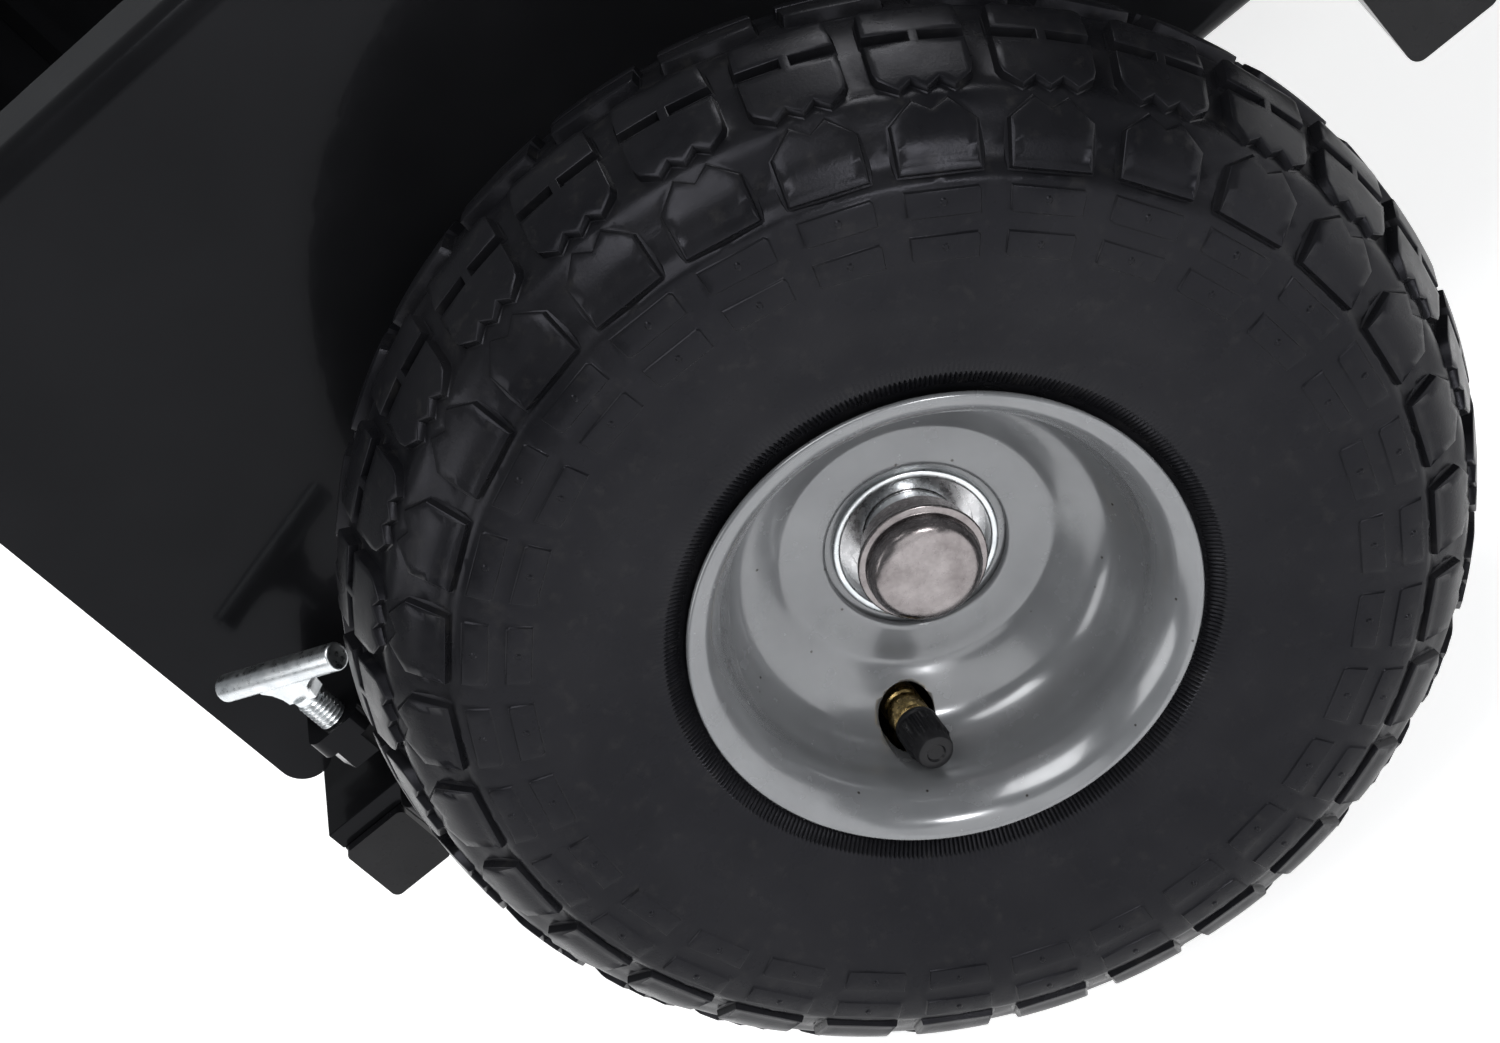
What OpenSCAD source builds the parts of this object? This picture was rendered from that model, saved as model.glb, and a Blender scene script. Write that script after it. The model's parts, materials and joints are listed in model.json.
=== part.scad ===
// Tow behind cart: a tipping steel bed on two pneumatic wheels, with a drawbar and a clevis hitch.
// X points forward, Y to the left, Z up. The wheels stand on Z = 0.
// Inside each module X is measured from the axle; place() moves it to the middle of the whole cart.

/* [Wheels] */
// Outer radius of the tyre
tyre_r = 131; // [131:1:135]
// Half of the tyre's widest section
tyre_half_w = 43; // [40:0.5:44]
// Distance between the two wheels' centre planes
track = 720; // [700:5:760]
// Radius of the rim's lip
rim_lip_r = 58.3; // [57:0.1:60]
// Distance of the rim's lip from the wheel's centre plane
rim_lip_z = 38; // [36:0.5:40]
// Outer radius of the hub tube
hub_r = 19.3; // [19:0.1:20]
// Radius of the axle rod
axle_r = 8; // [8:0.1:8.2]

/* [Bed] */
// Distance between the outer faces of the side panels
bed_w = 580; // [560:5:600]
// Distance from the axle back to the side panels' rear edge
bed_rear = 176; // [174:1:178]
// Distance from the axle forward to the bed's front face
bed_front = 490; // [470:5:495]
// Height of the side panels' lower flange above the ground
bed_bottom = 143; // [143:0.5:144]
// Height of the side panels' top above the ground
bed_top = 317; // [300:1:360]
// Thickness of the bed's sheet steel
sheet = 2; // [1.5:0.1:2]
// Outer radius of the side panels' bends
bend_r = 8; // [5:0.5:10]
// Width of the side panels' top flange
top_flange = 31; // [25:1:36]

/* [Underframe] */
// Side of the rear cross tube
rear_tube = 19.5; // [18:0.5:20]
// Side of the front cross tube
front_tube = 25; // [24:0.5:25.5]
// Length of the two cross tubes without their caps
cross_l = 615.4; // [600:0.2:620]
// Thickness of the clamp plates
plate_t = 5.7; // [5:0.1:6]

/* [Drawbar and hitch] */
// Side of the drawbar's square tube
bar = 40; // [38:1:40]
// Height of the drawbar's centre line under the bed
bar_z = 86; // [84:1:86]
// Height of the hitch above the ground
hitch_z = 268; // [250:1:290]
// Distance from the axle forward to the hitch pin's hole
hitch_x = 1130; // [1100:5:1160]
// Radius of the hitch pin's hole
hitch_hole_r = 6.6; // [6.5:0.1:7]
// Gap between the clevis's two ears
clevis_gap = 30; // [26:1:34]

/* [Clamp screws] */
// Distance of the clamp screws behind the axle
screw_x = 143.5; // [143:0.5:146]
// Distance of the clamp screws from the wheel's centre plane
screw_in = 42.9; // [41:0.1:44]
// Height of the middle of the screws' handles
handle_z = 186; // [184:1:190]

/* [Hidden] */
$fn = 96;

black = "#17181a";
rubber = "#26272a";
zinc = "#b9bcbf";
rim_grey = "#c9cccd";

// Radial gap of a part that sits on the axle, and of a part that runs on it
slip = 0.05;
axle_z = tyre_r;
wheel_y = track / 2;
side_y = bed_w / 2;
axle_end = wheel_y + 12;
clevis_t = 8;
clevis_tip = hitch_x + 20;
centre_x = (clevis_tip - bed_rear) / 2;

// Cross tubes: distance from the axle to the tube's face nearest to it, and the height of its underside
rear_tube_x = 154;
rear_tube_z = 112;
front_tube_x = 153;
front_tube_z = 116;
plate_z = rear_tube_z + rear_tube;
plate_top = plate_z + plate_t;
cross_top = front_tube_z + front_tube;
nose_tube = 20;
nose_x = 462;
nose_l = 440;
floor_z = bed_bottom + sheet;
rail_y = 205;
rail_t = 6;

// Drawbar: level as far as bend_x, then rising to the hitch
bend_x = 600;
bar_rear = 30;
bar_wall = 3;
slope = atan2(hitch_z - bar_z, hitch_x - 40 - bend_x);
bar_front = hitch_x - 40;

latch_x = 555;
latch_z = 118;
striker_x = 512;
striker_z = 119;
pin_r = 6.35;
pin_x = 990;
pin_y = 38;
stand_x = 900;
tab_t = 5.5;
tab_z = 162.5;

module place() {
  translate([-centre_x, 0, 0]) children();
}

// Draws a right-hand piece, and its mirror image for the left
module both_sides() {
  children();
  mirror([0, 1, 0]) children();
}

module one_side(side) {
  mirror([0, side == "left" ? 1 : 0, 0]) children();
}

// Turns the wheel's own frame, with +Z outward, into place at the right or the left wheel
module wheel_frame(side) {
  place() one_side(side) translate([0, -wheel_y, axle_z]) rotate([90, 0, 0]) children();
}

// A cylinder along Y between two distances from the cart's middle plane, on the right-hand side
module rod_y(r, y0, y1, hole = 0) {
  translate([0, -y0, 0]) rotate([90, 0, 0]) difference() {
    cylinder(r = r, h = y1 - y0);
    if (hole > 0) translate([0, 0, -1]) cylinder(r = hole, h = y1 - y0 + 2);
  }
}

// A flat plate drawn in X and Z, t thick, whose right-hand face is y from the middle plane
module plate_y(y, t) {
  translate([0, -y, 0]) rotate([90, 0, 0]) translate([0, 0, -t]) linear_extrude(t) children();
}

// A straight square tube along Y, centred on the middle plane
module tube_y(side, wall, l) {
  translate([0, -l / 2, 0]) difference() {
    cube([side, l, side]);
    translate([wall, -1, wall]) cube([side - 2 * wall, l + 2, side - 2 * wall]);
  }
}

// A rectangle with one corner radius at all four corners
module round_rect(x0, y0, x1, y1, r) {
  translate([x0 + r, y0]) square([x1 - x0 - 2 * r, y1 - y0]);
  translate([x0, y0 + r]) square([x1 - x0, y1 - y0 - 2 * r]);
  for (x = [x0 + r, x1 - r], y = [y0 + r, y1 - r]) translate([x, y]) circle(r);
}

// Both sides of an open line, t apart, as one closed outline
function unit(v) = v / norm(v);
function normal_at(p, i) =
  let (a = i > 0 ? unit(p[i] - p[i - 1]) : unit(p[1] - p[0]),
       b = i < len(p) - 1 ? unit(p[i + 1] - p[i]) : a,
       m = unit([-(a[1] + b[1]), a[0] + b[0]]))
  m / max(0.5, m * [-a[1], a[0]]);
function ribbon(p, t) = concat(
  p, [for (i = [len(p) - 1 : -1 : 0]) p[i] + t * normal_at(p, i)]);

// A round wire of radius r along the points p, as one closed mesh
function ring_at(p, i, r, n) =
  let (d = unit(p[min(i + 1, len(p) - 1)] - p[max(i - 1, 0)]),
       u = unit(cross(d, abs(d[1]) < 0.9 ? [0, 1, 0] : [1, 0, 0])),
       w = cross(d, u))
  [for (k = [0 : n - 1]) p[i] + r * (cos(360 * k / n) * u + sin(360 * k / n) * w)];
module wire(p, r, n = 8) {
  rows = len(p);
  polyhedron(
    points = [for (i = [0 : rows - 1]) each ring_at(p, i, r, n)],
    faces = concat(
      [[for (k = [0 : n - 1]) k]],
      [for (i = [0 : rows - 2], k = [0 : n - 1])
        [i * n + k, (i + 1) * n + k, (i + 1) * n + (k + 1) % n, i * n + (k + 1) % n]],
      [[for (k = [n - 1 : -1 : 0]) (rows - 1) * n + k]]));
}

// ---- Wheel ----

// Half of the tyre's outline, from the crown to the bead's toe and back along the inside
tyre_outer = [[0, 0], [6, 0.5], [12, 2], [20, 4.8], [27, 7.8], [33, 12.4], [38.5, 20], [42, 29], [43, 38],
  [42, 48], [39.8, 57], [38.2, 65], [38, 72]];
tyre_bead = [[35.5, 72.8], [35.3, 77.6], [33, 79.7], [26, 80], [26, 76]];
tyre_liner = [[33, 66], [36.5, 55], [37.5, 42], [35.5, 30], [30, 20], [22, 12.5], [12, 8.5], [0, 7.5]];
module tyre(side) {
  half = concat(tyre_outer, tyre_bead, tyre_liner);
  color(rubber) wheel_frame(side) rotate_extrude()
    for (s = [-1, 1]) polygon([for (q = half) [tyre_r - q[1], s * q[0] * tyre_half_w / 43]]);
}

tube_mid_r = 90;
module inner_tube(side) {
  color("#303134") wheel_frame(side) rotate_extrude() translate([tube_mid_r, 0]) difference() {
    circle(31);
    circle(29);
  }
}

// The rim halves' tyre side, from the centre hole to the lip: [radius, distance outward].
// The two halves meet on a flat ring, part from there, and are alike from the well outward.
outer_centre = [[22, 1.5], [30, 1.5], [32.5, 2.1], [35.5, 4], [39, 6], [43, 8]];
inner_centre = [[hub_r + slip, -1.5], [30, -1.5], [32.5, -0.9], [35.5, 1.2], [39, 4], [43, 7.2]];
well = [[46, 11], [48.5, 15.5], [50.4, 21], [50.7, 32.5], [51.4, 34.8], [53.4, rim_lip_z - 2.2],
  [rim_lip_r, rim_lip_z - 2]];
valve_at = [-28.6, -30.4];
valve_seat = 8;
valve_hole_r = 6.75;
module valve_place(lean = [0, 0, 0]) {
  translate([valve_at[0], valve_at[1], valve_seat]) rotate(lean)
    translate([0, 0, -valve_seat]) children();
}
module rim_outer(side) {
  color(rim_grey) wheel_frame(side) difference() {
    rotate_extrude() polygon(ribbon(concat(outer_centre, well), sheet));
    valve_place() cylinder(r = valve_hole_r, h = 30);
  }
}
module rim_inner(side) {
  color(rim_grey) wheel_frame(side) mirror([0, 0, 1])
    rotate_extrude() polygon(ribbon(concat(inner_centre, well), sheet));
}

hub_front = 3;
hub_back = -49;
bearing_r = 17.5;
bearing_w = 11;
bearing_z = [hub_front - 6 - bearing_w, hub_back + 1];
module hub(side) {
  color(zinc) wheel_frame(side) difference() {
    translate([0, 0, hub_back]) cylinder(r = hub_r, h = hub_front - hub_back);
    translate([0, 0, hub_back - 1]) cylinder(r = 15, h = hub_front - hub_back + 2);
    translate([0, 0, bearing_z[0]]) cylinder(r = bearing_r, h = hub_front - bearing_z[0] + 1);
    translate([0, 0, hub_back - 1]) cylinder(r = bearing_r, h = bearing_w + 2);
  }
}

race_in = 10.9;
race_out = 14.6;
balls = 8;
module bearings(side) {
  color(zinc) wheel_frame(side) for (z = bearing_z) translate([0, 0, z]) {
    difference() {
      cylinder(r = bearing_r, h = bearing_w);
      translate([0, 0, -1]) cylinder(r = race_out, h = bearing_w + 2);
    }
    for (a = [0 : balls - 1]) rotate(a * 360 / balls)
      translate([(race_in + race_out) / 2, 0, bearing_w / 2]) sphere(r = 1.8, $fn = 32);
    for (s = [0.6, bearing_w - 1.4]) translate([0, 0, s]) difference() {
      cylinder(r = race_out, h = 0.8);
      translate([0, 0, -1]) cylinder(r = race_in + 0.2, h = 3);
    }
  }
}
module bearing_inner_rings() {
  color(zinc) for (side = ["right", "left"]) wheel_frame(side) for (z = bearing_z)
    translate([0, 0, z]) difference() {
      cylinder(r = race_in, h = bearing_w);
      translate([0, 0, -1]) cylinder(r = axle_r + slip, h = bearing_w + 2);
    }
}

// The stem turns a corner behind the rim, from the inner tube to its place nearly along the axle
valve_lean = [4, 9, 0];
elbow_l = 17.2;
module valve_stem(side) {
  color("#a8834a") wheel_frame(side) {
    valve_place(valve_lean) {
      translate([0, 0, 1.7]) cylinder(r = 4.75, h = 13.3);
      translate([0, 0, 10]) cylinder(r = 3.9, h = 9);
    }
    valve_place() translate([0, 0, 4.2]) rotate([0, 90, atan2(valve_at[1], valve_at[0])])
      cylinder(r = 2.4, h = elbow_l);
  }
}
module valve_cap(side) {
  color(black) wheel_frame(side) valve_place(valve_lean) difference() {
    translate([0, 0, 15.1]) cylinder(r = 5.25, h = 12.9);
    translate([0, 0, 15]) cylinder(r = 3.95, h = 5);
  }
}

// ---- Chassis ----

module axle() {
  color(zinc) place() translate([0, 0, axle_z]) both_sides() rod_y(axle_r, 0, axle_end);
}

// Pressed caps on the axle's ends: a drum with a rounded top and a narrow bead round it
cap_r = 13.2;
cap_round = 4.2;
cap_round_h = 1.4;
cap_foot = hub_front + 0.3;
module axle_caps() {
  color(zinc) for (side = ["right", "left"]) wheel_frame(side) difference() {
    union() {
      translate([0, 0, cap_foot]) cylinder(r = cap_r, h = 12.3);
      translate([0, 0, cap_foot + 6.5]) cylinder(r = cap_r + 1.8, h = 1.4);
      translate([0, 0, cap_foot + 12.3]) rotate_extrude() {
        square([cap_r - cap_round, cap_round_h]);
        intersection() {
          translate([cap_r - cap_round, 0]) scale([cap_round, cap_round_h]) circle(1);
          square([cap_r, cap_round_h]);
        }
      }
    }
    translate([0, 0, 2]) cylinder(r = axle_r + slip, h = 10.3);
  }
}

// Sleeves and washers that keep the wheels, the braces and the bed pivots apart along the axle
brace_y = 237;
brace_t = 6;
inner_face = wheel_y + bearing_z[1];
sleeve_spans = [[rail_y + rail_t / 2 + 1.7, brace_y - 0.1], [brace_y + brace_t + 0.1, inner_face - 2.2],
  [inner_face - 2.1, inner_face - 0.1],
  [wheel_y + bearing_z[0] + bearing_w + 0.1, wheel_y + hub_front + 0.2]];
module axle_sleeves() {
  color(zinc) place() translate([0, 0, axle_z]) both_sides()
    for (span = sleeve_spans) rod_y(10.8, span[0], span[1], axle_r + slip);
}

module pivot_collars() {
  color(zinc) place() translate([0, 0, axle_z]) both_sides() difference() {
    rod_y(11.8, rail_y - rail_t / 2 - 10.2, rail_y - rail_t / 2 - 0.2, axle_r + slip);
    translate([0, -rail_y + rail_t / 2 + 5.2, -15]) cylinder(r = 2, h = 10);
  }
}

// The drawbar's side view: grow is added above and below its centre line
function bar_outline(grow, over) =
  let (lift = grow / cos(slope), shift = grow * tan(slope / 2), x1 = bar_front + over,
       z1 = bar_z + (x1 - bend_x) * tan(slope))
  [[-bar_rear - over, bar_z - grow], [bend_x + shift, bar_z - grow], [x1, z1 - lift],
   [x1, z1 + lift], [bend_x - shift, bar_z + grow], [-bar_rear - over, bar_z + grow]];
function bar_centre(x) = bar_z + max(0, x - bend_x) * tan(slope);

stand_bolt_z = [bar_centre(stand_x) - 9, bar_centre(stand_x) + 9];
stand_bolt_r = 4;
module stand_bolt_holes(r) {
  for (z = stand_bolt_z) translate([stand_x, 0, z]) rotate([90, 0, 0]) cylinder(r = r, h = 80, center = true);
}
module drawbar() {
  color(black) place() difference() {
    plate_y(bar / 2, bar) polygon(bar_outline(bar / 2, 0));
    plate_y(bar / 2 - bar_wall, bar - 2 * bar_wall) polygon(bar_outline(bar / 2 - bar_wall, 1));
    stand_bolt_holes(stand_bolt_r + 0.2);
  }
}
module drawbar_plug() {
  inner = bar - 2 * bar_wall - 0.4;
  color(rubber) place() {
    translate([-bar_rear - 3, -bar / 2, bar_z - bar / 2]) cube([3, bar, bar]);
    translate([-bar_rear, -inner / 2, bar_z - inner / 2]) cube([12, inner, inner]);
  }
}

// Two square tubes from the drawbar's sides out to the axle
brace = 20;
brace_z = bar_z - 6;
brace_front = [200, bar / 2];
brace_rear = [14, brace_y];
brace_foot = 32;
module brace_bar(side, l) {
  translate([-20, -side / 2, -side / 2]) cube([l + 40, side, side]);
}
module drawbar_braces() {
  run = brace_front - brace_rear;
  l = norm(run);
  color(black) place() both_sides() intersection() {
    translate([brace_rear[0], -brace_rear[1], brace_z]) rotate([0, 0, atan2(-run[1], run[0])])
      difference() {
        brace_bar(brace, l);
        translate([-1, 0, 0]) brace_bar(brace - 4, l + 4);
      }
    translate([-20, -brace_y, 0]) cube([500, brace_y - bar / 2, 120]);
  }
}

// Upright plates with a rounded eye round the axle
module eye_outline(half_w, foot_z, eye_r) {
  difference() {
    union() {
      translate([0, axle_z]) circle(eye_r);
      translate([-half_w, foot_z]) square([2 * half_w, axle_z - 8 - foot_z]);
      polygon([[-half_w, axle_z - 8], [half_w, axle_z - 8], [eye_r, axle_z], [-eye_r, axle_z]]);
    }
    translate([0, axle_z]) circle(axle_r + slip);
  }
}
module brace_eyes() {
  color(black) place() both_sides() plate_y(brace_y + brace_t, brace_t) {
    eye_outline(14, brace_z - brace / 2, 12);
    translate([0, brace_z - brace / 2]) square([brace_foot, brace]);
  }
}
module axle_brackets() {
  color(black) place() both_sides() plate_y(bar / 2 + 5, 5) eye_outline(22, bar_z - 10, 12);
}

module rest_pad() {
  color(rubber) place() translate([front_tube_x, -bar / 2, bar_z + bar / 2])
    cube([front_tube, bar, front_tube_z - bar_z - bar / 2 - 0.2]);
}

latch_pin_r = 4;
module latch_bracket() {
  top = bar_z + bar / 2;
  color(black) place() for (y = [10, -13.5]) plate_y(y, 4) difference() {
    union() {
      translate([latch_x - 14, top]) square([28, latch_z - top]);
      translate([latch_x, latch_z]) circle(10);
    }
    translate([latch_x, latch_z]) circle(latch_pin_r + slip);
  }
}
module latch_pin() {
  color(zinc) place() translate([latch_x, 0, latch_z]) {
    rod_y(latch_pin_r, -20.5, 13);
    for (y = [10.2, -19.7]) rod_y(6.5, y, y + 2);
  }
}
coil_r = 6.2;
coil_turns = 4;
coil_from = 5.6;
coil_pitch = 1.7;
module latch_spring() {
  turn = [for (a = [0 : 24 : 360 * coil_turns])
    [coil_r * cos(a), coil_from + coil_pitch * a / 360, coil_r * sin(a)]];
  end = turn[len(turn) - 1];
  color(zinc) place() translate([latch_x, 0, latch_z])
    wire(concat(turn, [end + [0, 0.2, -4], end + [0, 0.2, -8]]), 0.7);
}

module hitch_clevis() {
  back_x = bar_front;
  ear_l = clevis_tip - back_x - 10;
  full = clevis_gap + 2 * clevis_t;
  color(black) place() difference() {
    translate([back_x, -bar / 2, hitch_z - full / 2]) union() {
      cube([ear_l - 10, bar, full]);
      translate([hitch_x - back_x, bar / 2, 0]) cylinder(r = 20, h = full);
    }
    translate([back_x + 10, -bar, hitch_z - clevis_gap / 2]) cube([100, 2 * bar, clevis_gap]);
    translate([hitch_x, 0, hitch_z - 50]) cylinder(r = hitch_hole_r, h = 100);
  }
}

// A small shelf on the drawbar that stores the hitch pin and its spring clip
tab_top = bar_centre(pin_x) + 18;
clip_x = pin_x + 17;
module pin_tab() {
  color(black) place() difference() {
    translate([pin_x - 15, -pin_y - 14, tab_top - 6]) cube([40, pin_y + 14 - bar / 2, 6]);
    translate([pin_x, -pin_y, 0]) cylinder(r = pin_r + 0.1, h = 400);
    translate([clip_x, -pin_y, 0]) cylinder(r = 1.9, h = 400);
  }
}
module hitch_pin() {
  color(zinc) place() translate([pin_x, -pin_y, tab_top]) {
    translate([0, 0, -70]) cylinder(r = pin_r, h = 70.2);
    translate([0, 0, 0.2]) cylinder(r = 10, h = 4);
    translate([0, 0, 4.2]) cylinder(r = pin_r, h = 22);
    translate([0, 0, 26.2]) sphere(r = pin_r);
    translate([0, 0, 26.2]) rotate([0, -90, 0]) cylinder(r = pin_r, h = 34);
    translate([-34, 0, 26.2]) sphere(r = pin_r);
  }
}
module pin_clip() {
  loop = [for (a = [0 : 20 : 220]) [5.5 - 5.5 * cos(a), 0, 4 + 5.5 * sin(a)]];
  color(zinc) place() translate([clip_x, -pin_y, tab_top + 1.6])
    wire(concat([[0, 0, -34]], loop, [[4.6, 0, 0.2]]), 1.2);
}

stand_leg_t = 5;
stand_w = 30;
module parking_stand() {
  color(black) place() difference() {
    union() {
      for (y = [bar / 2 + stand_leg_t, -bar / 2]) plate_y(y, stand_leg_t)
        translate([stand_x - stand_w / 2, 0]) square([stand_w, bar_centre(stand_x) + 20]);
      translate([stand_x - 35, -bar / 2 - 12, 0]) cube([70, bar + 24, 5]);
    }
    stand_bolt_holes(stand_bolt_r + 0.2);
  }
}
module stand_bolts() {
  grip = bar / 2 + stand_leg_t;
  color(zinc) place() for (z = stand_bolt_z) translate([stand_x, 0, z]) rotate([90, 0, 0]) {
    translate([0, 0, -grip - 9]) cylinder(r = stand_bolt_r, h = 2 * grip + 10);
    translate([0, 0, grip + 0.1]) cylinder(r = 7.5, h = 5.3, $fn = 6);
    translate([0, 0, -grip - 6.6]) cylinder(r = 7.5, h = 6.5, $fn = 6);
  }
}

// ---- Latch lever ----

// The hook reaches back over the striker; the handle rises in front of the bed and ends in a grip
grip_foot = [28, 92];
module grip_place() {
  translate([grip_foot[0], 0, grip_foot[1]]) rotate([0, atan2(24, 89), 0]) children();
}
module grip_tang(gap) {
  grip_place() translate([-5 - gap, -4 - gap, -4]) cube([10 + 2 * gap, 8 + 2 * gap, 52 + gap]);
}
module latch_lever() {
  reach = latch_x - striker_x;
  color(black) place() translate([latch_x, 0, latch_z]) {
    plate_y(4, 8) difference() {
      union() {
        circle(11);
        translate([-reach - 7, 5.6]) square([reach + 10, 8]);
        translate([-reach - 7, -1]) square([2.4, 8]);
        polygon([[-2, 8], [10, 3], [33, 90], [23, 92.5]]);
      }
      circle(latch_pin_r + slip);
    }
    grip_tang(0);
  }
}
module latch_grip() {
  color(rubber) place() translate([latch_x, 0, latch_z]) difference() {
    grip_place() {
      translate([0, 0, 3]) cylinder(r = 11, h = 59);
      translate([0, 0, 62]) sphere(r = 11);
    }
    grip_tang(0.1);
  }
}

// ---- Bed ----

// The wall, both bends and both flanges, seen along X, with the outer face on the line Y = 0
module side_profile() {
  h = bed_top - bed_bottom;
  hem = 8;
  corner = bend_r - sheet;
  translate([0, bend_r]) square([sheet, h - 2 * bend_r]);
  for (z = [bend_r, h - bend_r]) translate([bend_r, z]) difference() {
    circle(bend_r);
    circle(corner);
    translate([0, -50]) square(100);
    translate([-50, z > bend_r ? -50 : 0]) square([100, 50]);
  }
  translate([bend_r, 0]) square([28 - bend_r, sheet]);
  translate([bend_r, h - sheet]) square([top_flange - sheet - bend_r, sheet]);
  translate([top_flange - hem, h - 2 * sheet]) square([hem - sheet, sheet]);
  translate([top_flange - sheet, h - sheet]) circle(sheet);
}
lobe_w = 14.3;
relief_w = 3.7;
relief_top = 155;
rivet_r = 2.4;
// Rivets: [X, height] on the side panels' front corners, and X along the floor's edges
side_rivets = [for (z = [175, 225, 275]) [bed_front - 12, z]];
floor_rivets = [for (i = [0 : 3]) -95 + i * 160];
floor_rivet_y = 268;
module rivet_spots(grow) {
  both_sides() {
    for (q = side_rivets) translate([q[0], 0, q[1]]) rod_y(rivet_r, side_y - 4 - grow, side_y + grow);
    for (x = floor_rivets) translate([x, -floor_rivet_y, bed_bottom - grow])
      cylinder(r = rivet_r, h = 4 + 2 * grow);
  }
}
module side_panel(side) {
  main_x = -bed_rear + lobe_w + relief_w;
  color(black) place() one_side(side) difference() {
    union() {
      translate([main_x, -side_y, bed_bottom]) rotate([90, 0, 90])
        linear_extrude(bed_front - main_x) side_profile();
      plate_y(side_y, sheet) {
        translate([-bed_rear, relief_top]) square([bed_rear + main_x, bed_top - relief_top]);
        translate([-bed_rear, bed_bottom + lobe_w / 2])
          square([lobe_w, relief_top - bed_bottom - lobe_w / 2]);
        translate([-bed_rear + lobe_w / 2, bed_bottom + lobe_w / 2]) circle(lobe_w / 2);
      }
    }
    rivet_spots(1);
  }
}

rib_w = 26;
rib_h = 5;
rib_x = [-120, 440];
rib_y = [-180, -60, 60, 180];
floor_y = 274;
module rib_block(inset, drop) {
  translate([rib_x[0] + inset, 0, 0]) rotate([90, 0, 90]) linear_extrude(rib_x[1] - rib_x[0] - 2 * inset)
    polygon([[-rib_w / 2 + inset, -drop], [rib_w / 2 - inset, -drop], [rib_w / 2 - inset, 0],
      [rib_w / 2 - 5, rib_h + sheet - inset], [5 - rib_w / 2, rib_h + sheet - inset],
      [inset - rib_w / 2, 0]]);
}
module floor_panel() {
  color(black) place() difference() {
    union() {
      translate([-165.5, -floor_y, floor_z]) cube([165.5 + bed_front - sheet, 2 * floor_y, sheet]);
      for (y = rib_y) translate([0, y, floor_z]) rib_block(0, 0);
    }
    for (y = rib_y) translate([0, y, floor_z]) rib_block(sheet, 1);
    rivet_spots(1);
  }
}

module front_panel() {
  edge = side_y - sheet;
  color(black) place() difference() {
    union() {
      translate([bed_front - sheet, -edge, floor_z + 7]) cube([sheet, 2 * edge, bed_top - floor_z - 15]);
      translate([bed_front - sheet, -side_y + bend_r + 2, floor_z])
        cube([sheet, 2 * (side_y - bend_r - 2), 8]);
      translate([bed_front - 24, -edge + 31, bed_top - 10])
        cube([24, 2 * edge - 62, sheet]);
      both_sides() translate([bed_front - 24, -edge, floor_z + 12])
        cube([24, sheet, bed_top - floor_z - 30]);
    }
    rivet_spots(1);
  }
}

channel_x = -161;
gate_foot = floor_z + sheet + 2.2;
channel_slot = 4;
gate_x = channel_x - 5.5;
module tailgate_channels() {
  color(black) place() both_sides() difference() {
    translate([channel_x - 14, sheet - side_y, floor_z + sheet]) cube([14, 12, 164]);
    translate([gate_x - sheet / 2 - channel_slot / 2, sheet - side_y + 2, gate_foot - 0.2])
      cube([channel_slot, 20, 200]);
  }
}

module rear_cross_tube() {
  color(black) place() translate([-rear_tube_x - rear_tube, 0, rear_tube_z]) tube_y(rear_tube, 1.6, cross_l);
}
module front_cross_tube() {
  color(black) place() translate([front_tube_x, 0, front_tube_z]) tube_y(front_tube, 2, cross_l);
}
module nose_cross_tube() {
  color(black) place() translate([nose_x, 0, cross_top - nose_tube]) tube_y(nose_tube, 2, nose_l);
}

// A plastic cap: a flange on the tube's end and a plug inside it
module end_cap(side, wall, flange, r) {
  plug = side - 2 * wall - 0.3;
  rotate([90, 0, 0]) linear_extrude(flange) round_rect(0, 0, side, side, r);
  translate([(side - plug) / 2, 0, (side - plug) / 2]) cube([plug, 10, plug]);
}
module tube_end_caps() {
  color(rubber) place() both_sides() {
    translate([-rear_tube_x - rear_tube, -cross_l / 2, rear_tube_z]) end_cap(rear_tube, 1.6, 2.7, 2);
    translate([front_tube_x, -cross_l / 2, front_tube_z]) end_cap(front_tube, 2, 2.7, 3);
    translate([nose_x, -nose_l / 2, cross_top - nose_tube]) end_cap(nose_tube, 2, 2.5, 2);
  }
}

// Rails that join the cross tubes and carry the bed on the axle
bushing_r = 9.4;
module pivot_rails() {
  color(black) place() both_sides() {
    plate_y(rail_y + rail_t / 2, rail_t) difference() {
      union() {
        translate([0, axle_z]) circle(12);
        polygon([[-rear_tube_x, rear_tube_z], [front_tube_x, front_tube_z], [front_tube_x, 135],
          [30, 131], [10.5, 137], [-10.5, 137], [-30, 131], [-rear_tube_x, 131]]);
      }
      translate([0, axle_z]) circle(bushing_r);
    }
    plate_y(rail_y + rail_t / 2, rail_t) translate([front_tube_x + front_tube, cross_top - nose_tube])
      square([nose_x - front_tube_x - front_tube, nose_tube]);
  }
}
module pivot_bushings() {
  color("#d8d8d0") place() translate([0, 0, axle_z]) both_sides() {
    rod_y(bushing_r, rail_y - rail_t / 2, rail_y + rail_t / 2, axle_r + slip);
    rod_y(11.8, rail_y + rail_t / 2, rail_y + rail_t / 2 + 1.5, axle_r + slip);
  }
}

// Plates on top of the rear tube, each with an ear that takes its clamp screw's end
ear_half = 6;
ear_y = wheel_y - screw_in;
nut_r = 7.5;
screw_r = 4;
module clamp_plates() {
  tube_end = cross_l / 2;
  inner_y = 252;
  color(black) place() both_sides() difference() {
    union() {
      translate([-rear_tube_x - rear_tube, -tube_end, plate_z])
        cube([rear_tube + 18, tube_end - inner_y, plate_t]);
      translate([-screw_x - ear_half, -ear_y, plate_z]) cube([2 * ear_half, 20, plate_t]);
      translate([-screw_x, -ear_y, plate_z]) cylinder(r = ear_half, h = plate_t);
    }
    translate([-screw_x, -ear_y, 100]) cylinder(r = screw_r + 0.1, h = 60);
  }
}

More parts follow.
